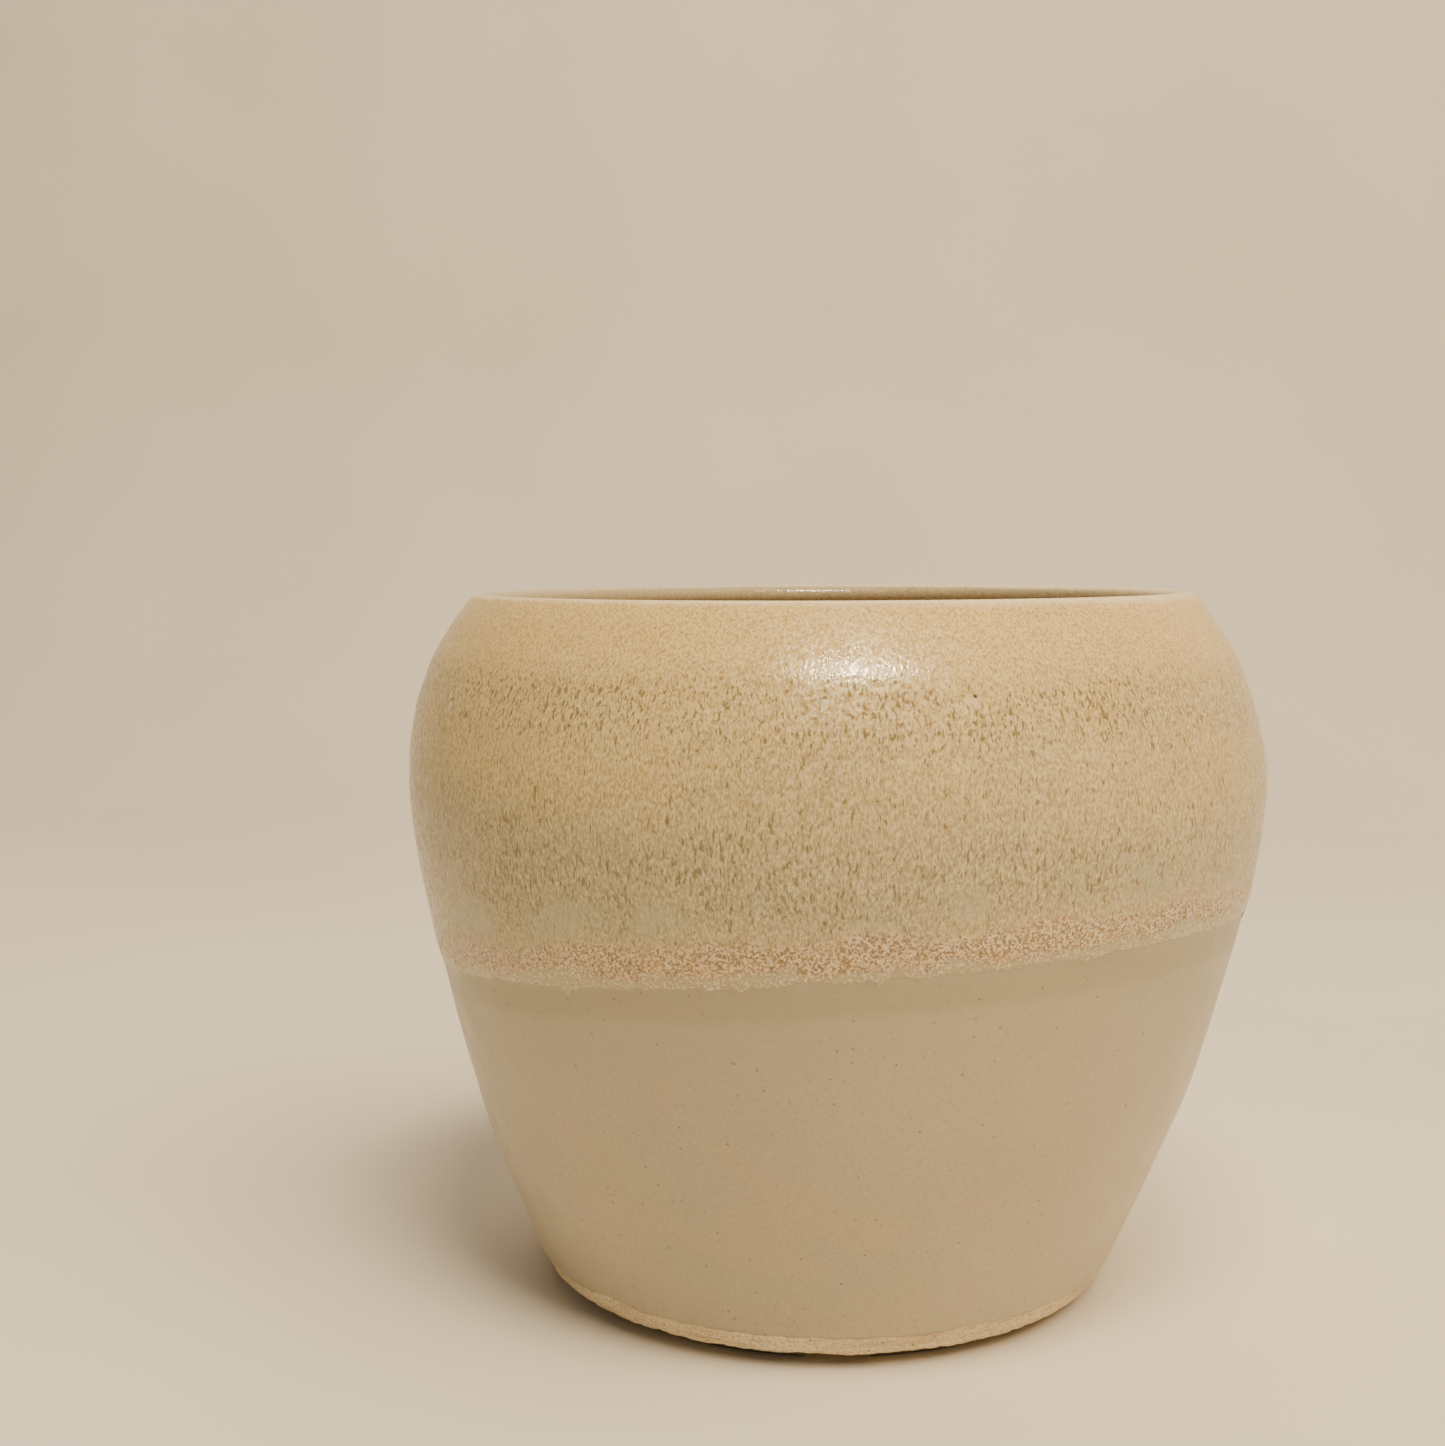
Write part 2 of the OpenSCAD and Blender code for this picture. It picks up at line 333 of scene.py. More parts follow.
class Shader:
    """A material under construction: each call adds a node and returns its output."""

    def __init__(self, name):
        self.material = bpy.data.materials.new(name)
        self.material.use_nodes = True
        self.tree = self.material.node_tree
        self.tree.nodes.clear()
        self.place = self.add("ShaderNodeTexCoord").outputs["Object"]

    def add(self, kind, **settings):
        """A new node with its settings."""
        node = self.tree.nodes.new(kind)
        for key, value in settings.items():
            setattr(node, key, value)
        return node

    def feed(self, socket, value):
        """Links an output to a socket, or sets a number or colour on it."""
        if isinstance(value, bpy.types.NodeSocket):
            self.tree.links.new(value, socket)
        elif isinstance(value, tuple) and len(value) == 3 and len(socket.default_value) == 4:
            socket.default_value = (*value, 1)
        else:
            socket.default_value = value

    def math(self, operation, a, b):
        """One operation on two values."""
        node = self.add("ShaderNodeMath", operation=operation)
        self.feed(node.inputs[0], a)
        self.feed(node.inputs[1], b)
        return node.outputs[0]

    def stretch(self, x=1.0, y=1.0, z=1.0, shift=(0.0, 0.0, 0.0)):
        """The place on the object, scaled along each axis and then moved."""
        node = self.add("ShaderNodeMapping")
        self.feed(node.inputs["Vector"], self.place)
        node.inputs["Scale"].default_value = (x, y, z)
        node.inputs["Location"].default_value = shift
        return node.outputs[0]

    def noise(self, period_mm, detail=2.0, place=None, rough=0.5, distortion=0.0):
        """Noise about 0.5 whose blobs are about half a period across."""
        node = self.add("ShaderNodeTexNoise")
        self.feed(node.inputs["Vector"], place or self.place)
        node.inputs["Scale"].default_value = 1 / (period_mm * MM)
        node.inputs["Detail"].default_value = detail
        node.inputs["Roughness"].default_value = rough
        node.inputs["Distortion"].default_value = distortion
        return node.outputs[0]

    def cells(self, size_mm, place=None):
        """Distance from the nearest of many scattered points, in cells of this size."""
        node = self.add("ShaderNodeTexVoronoi", feature="F1")
        self.feed(node.inputs["Vector"], place or self.place)
        node.inputs["Scale"].default_value = 1 / (size_mm * MM)
        node.inputs["Randomness"].default_value = 1.0
        return node.outputs[0]

    def span(self, value, low, high, to_low=0.0, to_high=1.0):
        """Carries low..high smoothly to to_low..to_high, clamped."""
        node = self.add("ShaderNodeMapRange", interpolation_type="SMOOTHSTEP")
        self.feed(node.inputs["Value"], value)
        for key, number in zip(("From Min", "From Max", "To Min", "To Max"),
                               (low, high, to_low, to_high)):
            node.inputs[key].default_value = number
        return node.outputs[0]

    def rise(self, height, heights_mm, most=1.0):
        """0 at the first of two heights or distances in mm, and most at the second."""
        first, second = heights_mm
        return self.span(height, first * MM, second * MM, 0, most)

    def blend(self, share, a, b):
        """Colour a, with this share of it replaced by colour b."""
        node = self.add("ShaderNodeMix", data_type="RGBA", blend_type="MIX")
        self.feed(node.inputs["Factor"], share)
        self.feed(node.inputs[6], a)
        self.feed(node.inputs[7], b)
        return node.outputs[2]

    def near(self, point_mm, z_scale=1.0):
        """Distance in metres from a point, with heights scaled."""
        node = self.add("ShaderNodeVectorMath", operation="DISTANCE")
        self.feed(node.inputs[0], self.stretch(1, 1, z_scale))
        node.inputs[1].default_value = tuple(c * k * MM for c, k in zip(point_mm, (1, 1, z_scale)))
        return node.outputs["Value"]

    def split(self):
        """The place on the object as x, y and z in metres."""
        node = self.add("ShaderNodeSeparateXYZ")
        self.feed(node.inputs[0], self.place)
        return node.outputs

    def uneven(self, value, pattern, reach_mm):
        """The value, shifted up and down by a pattern about 0.5."""
        shift = self.math("MULTIPLY", self.math("SUBTRACT", pattern, 0.5), reach_mm * MM)
        return self.math("ADD", value, shift)

    def bump(self, height, distance_mm, strength=1.0, normal=None):
        """A normal for relief that is distance_mm deep where the height goes from 0 to 1."""
        node = self.add("ShaderNodeBump")
        node.inputs["Strength"].default_value = strength
        node.inputs["Distance"].default_value = distance_mm * MM
        self.feed(node.inputs["Height"], height)
        if normal is not None:
            self.feed(node.inputs["Normal"], normal)
        return node.outputs[0]

    def finish(self, color, roughness, normal=None, **settings):
        """Closes the material with a principled surface."""
        surface = self.add("ShaderNodeBsdfPrincipled")
        self.feed(surface.inputs["Base Color"], color)
        self.feed(surface.inputs["Roughness"], roughness)
        if normal is not None:
            self.feed(surface.inputs["Normal"], normal)
        for key, value in settings.items():
            surface.inputs[key.replace("_", " ")].default_value = value
        output = self.add("ShaderNodeOutputMaterial")
        self.tree.links.new(surface.outputs[0], output.inputs["Surface"])
        return self.material


def srgb(red, green, blue):
    """A linear colour from 0-255 screen values."""
    return tuple(
        c / 12.92 if c <= 0.04045 else ((c + 0.055) / 1.055) ** 2.4
        for c in (red / 255, green / 255, blue / 255)
    )


def above_line(shader):
    """Height in metres above the tilted edge of the over-glaze."""
    x, y, z = shader.split()
    tilted = shader.math("MULTIPLY", x, -math.tan(LINE_TILT_X))
    tilted = shader.math("ADD", tilted, shader.math("MULTIPLY", y, math.tan(LINE_TILT_Y)))
    height = shader.math("ADD", z, tilted)
    return shader.math("SUBTRACT", height, LINE_Z * MM)


# ---------------------------------------------------------------- materials

# Colours of the over-glaze
CREAM = srgb(212, 185, 126)
TAN = srgb(198, 175, 126)
HONEY = srgb(214, 178, 108)
SHOULDER_GOLD = srgb(228, 190, 112)
THICK_GLAZE = srgb(170, 158, 126)
PALE_GRAIN = srgb(242, 221, 170)
OLIVE_GRAIN = srgb(144, 124, 80)
IRON_FLECK = srgb(108, 88, 50)
GREY_CLOUD = srgb(184, 180, 144)
CURD_DARK = srgb(128, 94, 60)
CURD_PINK = srgb(240, 215, 177)
CURD_RUST = srgb(206, 160, 108)
LACE_DARK = srgb(188, 173, 138)
LACE_PALE = srgb(232, 218, 186)
TRICKLE = srgb(240, 226, 196)
PINHOLE = srgb(84, 58, 30)
# The lip's top: thin glaze break and a painted highlight
PALE_LIP_AND_HIGHLIGHT = srgb(240, 222, 182)
# Inside the lip: soil stain and painted shade inside the pot
SOIL_STAIN_AND_INNER_SHADE = srgb(158, 148, 128)

# Colours of the base glaze
BEIGE = srgb(180, 167, 140)
WARM_BEIGE = srgb(188, 172, 141)
ROSY_BEIGE = srgb(206, 170, 130)
BASE_GRAIN_PALE = srgb(220, 200, 160)
BASE_GRAIN_DARK = srgb(156, 134, 94)
BASE_HALO = srgb(178, 167, 134)
BASE_STRIPE = srgb(156, 140, 100)
BASE_SPECK = srgb(88, 74, 42)
BASE_THIN = srgb(150, 122, 84)

# Colours of the clay
BUFF = srgb(238, 219, 180)
DEEP_BUFF = srgb(228, 206, 164)
CLAY_GRAIN_DARK = srgb(156, 128, 88)
CLAY_GRAIN_PALE = srgb(250, 236, 204)
TURNING_LINE = srgb(176, 142, 96)
GRIT = srgb(238, 218, 180)
CLAY_IRON = srgb(110, 80, 50)
CLAY_INSIDE = srgb(178, 166, 146)
# Dark clay at the foot: partly a water stain, partly painted shade under the heel
STAIN_AND_UNDERCUT_SHADE = srgb(96, 90, 80)

# Colours of the net and the wires
NET_BLACK = srgb(30, 32, 30)
NET_SCUFF = srgb(62, 62, 58)
BROWN_WIRE = srgb(104, 76, 56)
BROWN_WIRE_DARK = srgb(78, 54, 38)
STEEL_WIRE = srgb(196, 196, 196)
STEEL_WIRE_DARK = srgb(158, 158, 160)

# Heights in mm between which the over-glaze changes, as (where it starts, where it is full)
SHOULDER = (117, 132)
LOW_BAND_TOP = (108, 92)
UPPER_FLECKS_FROM = (110, 117)
UPPER_FLECKS_TO = (127, 121)
LOWER_FLECKS_TO = (106, 90)
CLEAN_LIP = (122, 133)
# the lip's pale top: glaze break and painted highlight
LIP_PALE_HEIGHTS = (135.0, 136.4)
PAST_LIP_R = (69.2, 67.6)  # radii, on the way in over the lip
INSIDE_FROM = (90, 100)

# Heights in mm above the over-glaze's edge, likewise
LOW_BAND_FOOT = (2, 12)
LOWER_FLECKS_FROM = (6, 14)
GREY_FROM = (7, 10)
GREY_TO = (18, 12)
CURD_TO = (8.5, 5.5)
CURD_RELIEF_TO = (10.5, 6)
LACE_TO = (3.0, 1.2)

# And for the base glaze under that edge
HALO_FROM = (-22, -3)
STRIPE_FROM = (-7.5, -4.5)
STRIPE_TO = (0.5, -1.5)

# Heights in mm at the foot
BASE_THINS = (7.2, 6.2)
CLAY_GREYER = (8.5, 11.0)
# Heights where the foot's clay turns dark: water stain and painted shade under the heel
STAIN_AND_SHADE_TO = (2.6, 1.8)

# Pinholes in the over-glaze, each with a white trickle below it: (direction, height)
PINHOLES = ((-93.9, 121.2), (-76.4, 121.2), (-150, 118), (20, 123), (75, 119), (140, 121.5))
TRICKLE_DROP = 1.9  # mm from a pinhole down to the middle of its trickle


def over_glaze_material():
    """Cream and tan satin glaze, streaked with iron and curdled pink at its edge."""
    s = Shader("over_glaze")
    z = s.split()["Z"]
    edge = above_line(s)
    run = s.stretch(1, 1, 0.5)

    # Large soft patches, a lighter and yellower shoulder, and a band of thicker glaze
    patches = s.noise(40, 3, s.stretch(1, 1, 1.6))
    color = s.blend(s.span(patches, 0.38, 0.62), CREAM, TAN)
    warm = s.noise(26, 2, s.stretch(shift=(0.3, 0.1, 0.2)))
    color = s.blend(s.span(warm, 0.5, 0.7, 0, 0.4), color, HONEY)
    color = s.blend(s.rise(z, SHOULDER, 0.75), color, SHOULDER_GOLD)
    low_band = s.math("MULTIPLY", s.rise(z, LOW_BAND_TOP), s.rise(edge, LOW_BAND_FOOT))
    color = s.blend(s.math("MULTIPLY", low_band, 0.65), color, THICK_GLAZE)

    # Fine mottling that ran down the wall
    grain = s.noise(0.42, 2, run, rough=0.6)
    color = s.blend(s.span(grain, 0.5, 0.62, 0, 0.45), color, PALE_GRAIN)
    color = s.blend(s.span(grain, 0.5, 0.38, 0, 0.5), color, OLIVE_GRAIN)

    # Iron flecks, thin near the lip and crowded in two bands
    dark = s.noise(0.52, 2, s.stretch(1, 1, 0.28, (0.5, 0.2, 0.7)), rough=0.6)
    crowd = s.noise(14, 3, s.stretch(1, 1, 1.8, (0.1, 0.4, 0.3)))
    upper = s.math("MULTIPLY", s.rise(z, UPPER_FLECKS_FROM), s.rise(z, UPPER_FLECKS_TO))
    lower = s.math("MULTIPLY", s.rise(edge, LOWER_FLECKS_FROM), s.rise(z, LOWER_FLECKS_TO))
    bands = s.math("MULTIPLY", s.math("ADD", upper, lower), 0.055)
    fleck = s.math("ADD", dark, s.math("MULTIPLY", crowd, 0.18))
    fleck = s.math("ADD", fleck, bands)
    fleck = s.math("SUBTRACT", fleck, s.rise(z, CLEAN_LIP, 0.08))
    color = s.blend(s.span(fleck, 0.715, 0.75, 0, 0.7), color, IRON_FLECK)

    # The curdled edge: grey patches, pink curds, and a thin pale lace at the very edge
    edge = s.uneven(edge, s.noise(9, 5, rough=0.65), 9)
    grey = s.math("MULTIPLY", s.rise(edge, GREY_FROM), s.rise(edge, GREY_TO))
    cloud = s.span(s.noise(10, 2, s.stretch(shift=(0.7, 0, 0))), 0.42, 0.62)
    grey = s.math("MULTIPLY", grey, cloud)
    color = s.blend(s.math("MULTIPLY", grey, 0.6), color, GREY_CLOUD)
    curd = s.noise(0.5, 2, rough=0.6, distortion=0.4)
    curds = s.blend(s.span(curd, 0.42, 0.58), CURD_DARK, CURD_PINK)
    rust = s.noise(6, 2, s.stretch(shift=(0, 0.8, 0)))
    curds = s.blend(s.span(rust, 0.45, 0.65, 0, 0.3), curds, CURD_RUST)
    color = s.blend(s.rise(edge, CURD_TO, 0.75), color, curds)
    lace = s.blend(s.span(curd, 0.54, 0.64), LACE_DARK, LACE_PALE)
    color = s.blend(s.rise(edge, LACE_TO, 0.85), color, lace)

    # Pinholes and their trickles
    for degrees, height in PINHOLES:
        spot = on_wall(height, math.radians(degrees), 0)
        trickle = s.near(spot - [0, 0, TRICKLE_DROP], z_scale=0.4)
        color = s.blend(s.rise(trickle, (1.0, 0.3), 0.75), color, TRICKLE)
        color = s.blend(s.rise(s.near(spot), (0.5, 0.2), 0.9), color, PINHOLE)

    # The lip, where the glaze breaks thin and pale, with its top painted paler still as a
    # highlight
    pale_lip_z = s.uneven(z, s.noise(5, 2), 1.6)
    color = s.blend(s.rise(pale_lip_z, LIP_PALE_HEIGHTS, 0.75), color, PALE_LIP_AND_HIGHLIGHT)

    # Inside the lip the glaze is painted duller and darker: partly a soil stain, partly painted
    # shade inside the pot
    from_axis = s.near((0, 0, 0), z_scale=0)
    inside = s.math("MULTIPLY", s.rise(from_axis, PAST_LIP_R), s.rise(z, INSIDE_FROM))
    color = s.blend(s.math("MULTIPLY", inside, 0.6), color, SOIL_STAIN_AND_INNER_SHADE)

    # A grainy skin, and raised curds
    skin = s.bump(s.noise(0.6, 2, run), 0.09, 1.0)
    rough_curd = s.math("MULTIPLY", curd, s.rise(edge, CURD_RELIEF_TO))
    normal = s.bump(rough_curd, 0.16, 0.8, skin)
    satin = s.noise(0.9, 2, s.stretch(1, 1, 0.7, (0, 0, 0.4)))
    gloss = s.span(satin, 0.46, 0.56, 0.1, 0.36)
    return s.finish(color, gloss, normal, IOR=1.5)


def base_glaze_material():
    """Smooth satin beige glaze with fine iron specks and a grey halo under the edge."""
    s = Shader("base_glaze")
    z = s.split()["Z"]
    edge = above_line(s)
    patches = s.noise(60, 3)
    color = s.blend(s.span(patches, 0.35, 0.65), BEIGE, WARM_BEIGE)
    rosy = s.noise(32, 2, s.stretch(1, 1, 1.4, (0.2, 0.6, 0.1)))
    color = s.blend(s.span(rosy, 0.54, 0.72, 0, 0.3), color, ROSY_BEIGE)
    grain = s.noise(0.7, 3, rough=0.6)
    color = s.blend(s.span(grain, 0.5, 0.66, 0, 0.14), color, BASE_GRAIN_PALE)
    color = s.blend(s.span(grain, 0.5, 0.34, 0, 0.2), color, BASE_GRAIN_DARK)

    # Under the over-glaze: a grey tinge, and a soft darker stripe close to the edge
    edge = s.uneven(edge, s.noise(18, 3), 3)
    color = s.blend(s.rise(edge, HALO_FROM, 0.5), color, BASE_HALO)
    stripe = s.math("MULTIPLY", s.rise(edge, STRIPE_FROM), s.rise(edge, STRIPE_TO))
    color = s.blend(s.math("MULTIPLY", stripe, 0.35), color, BASE_STRIPE)

    # Iron specks in two sizes: (cell in mm, radius in cells, depth of colour, shift)
    for size, reach, depth, shift in ((3.0, 0.1, 0.65, 0.1), (2.1, 0.12, 0.35, 0.4)):
        speck = s.cells(size, s.stretch(shift=(shift, 0, shift)))
        color = s.blend(s.span(speck, reach, reach * 0.4, 0, depth), color, BASE_SPECK)

    # Where it thins over the clay at its lower edge
    low = s.uneven(z, s.noise(6, 3), 1.5)
    color = s.blend(s.rise(low, BASE_THINS, 0.45), color, BASE_THIN)
    skin = s.bump(s.noise(1.5, 3), 0.04, 0.5)
    normal = s.bump(s.noise(22, 2), 0.3, 0.3, skin)
    gloss = s.span(s.noise(8, 3), 0.35, 0.65, 0.34, 0.46)
    return s.finish(color, gloss, normal, IOR=1.5, Coat_Weight=0.2, Coat_Roughness=0.2)


def clay_material():
    """Bare buff stoneware with grain, turning lines, grit and iron specks."""
    s = Shader("bare_clay")
    z = s.split()["Z"]
    patches = s.noise(24, 3)
    color = s.blend(s.span(patches, 0.35, 0.65), BUFF, DEEP_BUFF)
    grain = s.noise(0.5, 3, rough=0.65)
    color = s.blend(s.span(grain, 0.5, 0.36, 0, 0.5), color, CLAY_GRAIN_DARK)
    color = s.blend(s.span(grain, 0.5, 0.64, 0, 0.5), color, CLAY_GRAIN_PALE)
    turning = s.noise(1.4, 3, s.stretch(0.12, 0.12, 2.2), rough=0.6)
    color = s.blend(s.span(turning, 0.5, 0.36, 0, 0.35), color, TURNING_LINE)
    grit = s.cells(1.3)
    color = s.blend(s.span(grit, 0.2, 0.1, 0, 0.6), color, GRIT)
    iron = s.cells(2.8, s.stretch(shift=(0.4, 0.1, 0)))
    color = s.blend(s.span(iron, 0.12, 0.06, 0, 0.7), color, CLAY_IRON)

    # Above the bare band only the inside shows, greyer from soil; the foot and the clay under the
    # heel are painted dark, partly a water stain and partly painted shade under the heel
    color = s.blend(s.rise(z, CLAY_GREYER, 0.55), color, CLAY_INSIDE)
    stain_and_shade_z = s.uneven(z, patches, 2)
    color = s.blend(s.rise(stain_and_shade_z, STAIN_AND_SHADE_TO, 0.8), color, STAIN_AND_UNDERCUT_SHADE)
    normal = s.bump(s.noise(0.9, 4, rough=0.7), 0.14, 0.8)
    normal = s.bump(grit, -0.06, 0.5, normal)
    return s.finish(color, s.span(grain, 0.3, 0.7, 0.78, 0.95), normal, IOR=1.45)


def net_material():
    """Black polyethylene net, slightly scuffed."""
    s = Shader("net_plastic")
    scuff = s.noise(4.4, 3)
    color = s.blend(s.span(scuff, 0.5, 0.7, 0, 0.5), NET_BLACK, NET_SCUFF)
    normal = s.bump(s.noise(0.7, 3), 0.03, 0.5)
    return s.finish(color, s.span(scuff, 0.4, 0.7, 0.38, 0.6), normal, IOR=1.5)


def wire_material(name, light, dark, roughness):
    """Drawn wire with faint marks along and across it."""
    s = Shader(name)
    marks = s.noise(1.0, 3, s.stretch(1, 1, 0.2))
    color = s.blend(s.span(marks, 0.35, 0.65), light, dark)
    scratch = s.noise(0.5, 3, s.stretch(1, 1, 0.15, (0.3, 0, 0)))
    normal = s.bump(scratch, 0.02, 0.5)
    gloss = s.span(marks, 0.3, 0.7, roughness - 0.08, roughness + 0.1)
    return s.finish(color, gloss, normal, Metallic=1.0)


# ---------------------------------------------------------------- the glazed pot


def line_at(turn):
    """Height of the over-glaze edge in each direction, before its raggedness."""
    z = np.full(np.shape(turn), LINE_Z)
    # The edge's height depends on the radius there, and the other way round: this closes in
    for _ in range(6):
        r = outer_r(z)
        z = LINE_Z + r * np.cos(turn) * math.tan(LINE_TILT_X)
        z = z - r * np.sin(turn) * math.tan(LINE_TILT_Y)
    return z


# Drips of the over-glaze: (direction in degrees, length in mm, width in mm)
DRIPS = (
    (-128.0, 1.7, 0.9),
    (-126.2, 0.9, 0.8),
    (-88.0, 1.5, 0.7),
    (-104.0, 0.7, 1.2),
    (-62.0, 1.0, 0.8),
    (-20.0, 1.4, 0.9),
    (18.0, 1.1, 1.0),
    (52.0, 1.9, 1.0),
    (95.0, 1.2, 0.9),
    (131.0, 1.6, 1.1),
    (170.0, 0.9, 0.8),
    (-155.0, 1.1, 0.9),
)

OVER_TURNS = 1040
# Rows of the over-glaze near its edge, in mm above it; wider rows follow up to the lip
OVER_EDGE_ROWS = (0, 0.06, 0.16, 0.3, 0.48, 0.7, 0.95, 1.25, 1.6, 2.0, 2.45, 2.95,
                  3.5, 4.1, 4.8, 5.6, 6.5, 7.5, 8.6, 9.8)
OVER_WALL_ROWS = 28
LINE_WANDER = 0.4  # how far its edge wanders in long waves, in mm
LINE_FRINGE = 0.45  # and in a short ragged fringe
EDGE_STEP = 0.35  # share of its thickness that it has right above its edge
FULL_ABOVE = 3.2  # mm above the edge where it is fully thick
CURD_H = 0.12  # how far the curds stand out
CURD_MIDDLE = 4  # mm above the edge where they stand out most
THINS_OUT = (0.9, 0.6, 0.05)  # shares of a coat's thickness in its last rows inside

BASE_TURNS = 720
# Rows of the base glaze near its lower edge, in mm above it
BASE_EDGE_ROWS = (0, 0.07, 0.18, 0.34, 0.55, 0.8, 1.2, 1.8)
BASE_WALL_ROWS = 55
BASE_EDGE_R = 57  # about the radius of its lower edge, for the noise along it
HIDDEN_ABOVE = 4  # mm above the over-glaze's edge, from where the base glaze has few rows
ROUND_EDGE_H = 0.6  # height of its rounded lower edge
ROLL_SHARE = 0.25  # the roll just above that edge, in shares of the coat's thickness

CLAY_TURNS = 640
BARE_OVERLAP = 1.5  # how far the bare clay's close rows go on under the base glaze
SPIRAL_PITCH = 8.5  # height from one finger groove inside the pot to the next
SWIRL_PITCH = 7  # width of two grooves of the floor's swirl

# Where a sum such as around + 40 is handed to fbm, it only picks another part of the noise.


def build_over_glaze():
    """The over-glaze: from its edge up, over the lip, down the inside, and back."""
    turn = np.linspace(0, TAU, OVER_TURNS, endpoint=False)
    line = line_at(turn)
    r_line = outer_r(line)
    around = np.stack([r_line * np.cos(turn), r_line * np.sin(turn), line], axis=-1)
    line = line + LINE_WANDER * fbm(around, 7, 2) + LINE_FRINGE * fbm(around + 40, 1.2, 3)
    for degrees, length, width in DRIPS:
        off = (turn - math.radians(degrees) + math.pi) % TAU - math.pi
        line = line - length * np.exp(-((off * r_line / width) ** 2))

    near = np.array(OVER_EDGE_ROWS)
    share = np.linspace(0, 1, OVER_WALL_ROWS + 1)[1:]
    up = TOP_Z - line
    rise = [np.full(turn.size, d) for d in near]
    rise += [near[-1] + (up - near[-1]) * t for t in share]
    z = line + np.array(rise)
    above = z - line
    step = EDGE_STEP * np.sqrt(np.clip(above / 0.3, 0, 1))
    curl = step + (1 - EDGE_STEP) * np.clip(above / FULL_ABOVE, 0, 1) ** 0.8
    lumps = CURD_H * fbm(on_wall(z, turn, 0), 1.3, 2) * curl
    lumps = lumps * np.exp(-(((above - CURD_MIDDLE) / 4) ** 2))
    outside = on_wall(z, turn, OVER_T * (1 - curl) - lumps)
    lip = round_lip(turn, GLAZE_T, rows=12)[1:-1]

    # Down the inside to a softly uneven end, and back along the base glaze
    end = INSIDE_END + 1.5 + 0.8 * fbm(around + 90, 18, 3)
    down = TOP_Z + (end - TOP_Z) * np.linspace(0, 1, 12)[:, None]
    thick = OVER_T * np.array([1.0] * 9 + list(THINS_OUT))[:, None]
    inner = GLAZE_T + clay_t(down) + BASE_T
    inside = on_wall(down, turn, inner + thick)
    back_up = on_wall(down[::-1][1:], turn, inner[::-1][1:])
    back_lip = round_lip(turn, BASE_T, start=1.0, end=0.0, rows=7)[1:-1]
    z_back = line + (TOP_Z - line) * np.linspace(1, 0.01, 9)[:, None]
    back_down = on_wall(z_back, turn, OVER_T)
    rows = np.concatenate([outside, lip, inside, back_up, back_lip, back_down])
    return grid_piece("over_glaze_coat", rows)


def build_base_glaze():
    """The base glaze: from the heel up under the over-glaze, over the lip, and back."""
    turn = np.linspace(0, TAU, BASE_TURNS, endpoint=False)
    around = np.stack(
        [BASE_EDGE_R * np.cos(turn), BASE_EDGE_R * np.sin(turn), 0 * turn], axis=-1)
    edge = BARE_Z + 0.5 * fbm(around, 9, 3) + 0.22 * fbm(around + 60, 1.8, 3)
    near = np.array(BASE_EDGE_ROWS)
    share = np.linspace(0, 1, BASE_WALL_ROWS + 1)[1:]
    line = line_at(turn) + HIDDEN_ABOVE
    z = [edge + d for d in near]
    z += [edge + near[-1] + (line - edge - near[-1]) * t for t in share]
    z = np.array(z)
    above = z - edge
    curl = np.sqrt(np.clip(1 - (1 - np.clip(above / ROUND_EDGE_H, 0, 1)) ** 2, 0, 1))
    roll = 1 + ROLL_SHARE * np.exp(-(((above - 1.0) / 0.8) ** 2))
    visible = on_wall(z, turn, OVER_T + BASE_T * (1 - curl * roll))
    hidden_z = line + (TOP_Z - line) * np.linspace(0, 1, 9)[1:, None]
    hidden = on_wall(hidden_z, turn, OVER_T)
    lip = round_lip(turn, BASE_T, rows=10)[1:-1]

    # Down the inside to its own uneven end, and back along the clay
    end = INSIDE_END + 0.7 * fbm(around + 20, 15, 3)
    down = TOP_Z + (end - TOP_Z) * np.linspace(0, 1, 10)[:, None]
    thick = BASE_T * np.array([1.0] * 7 + list(THINS_OUT))[:, None]
    inner = GLAZE_T + clay_t(down)
    inside = on_wall(down, turn, inner + thick)
    back_up = on_wall(down[::-1][1:], turn, inner[::-1][1:])
    back_lip = round_lip(turn, 0, start=1.0, end=0.0, rows=8)[1:-1]
    z_back = edge + (TOP_Z - edge) * np.linspace(1, 0.004, 14)[:, None]
    back_down = on_wall(z_back, turn, GLAZE_T)
    rows = np.concatenate([visible, hidden, lip, inside, back_up, back_lip, back_down])
    return grid_piece("base_glaze_coat", rows)


def ring_rows(points, turn):
    """Plain rows about the axis from (radius, height) pairs in mm."""
    return np.array(
        [np.stack([r * np.cos(turn), r * np.sin(turn), z + 0 * turn], axis=-1) for r, z in points]
    )


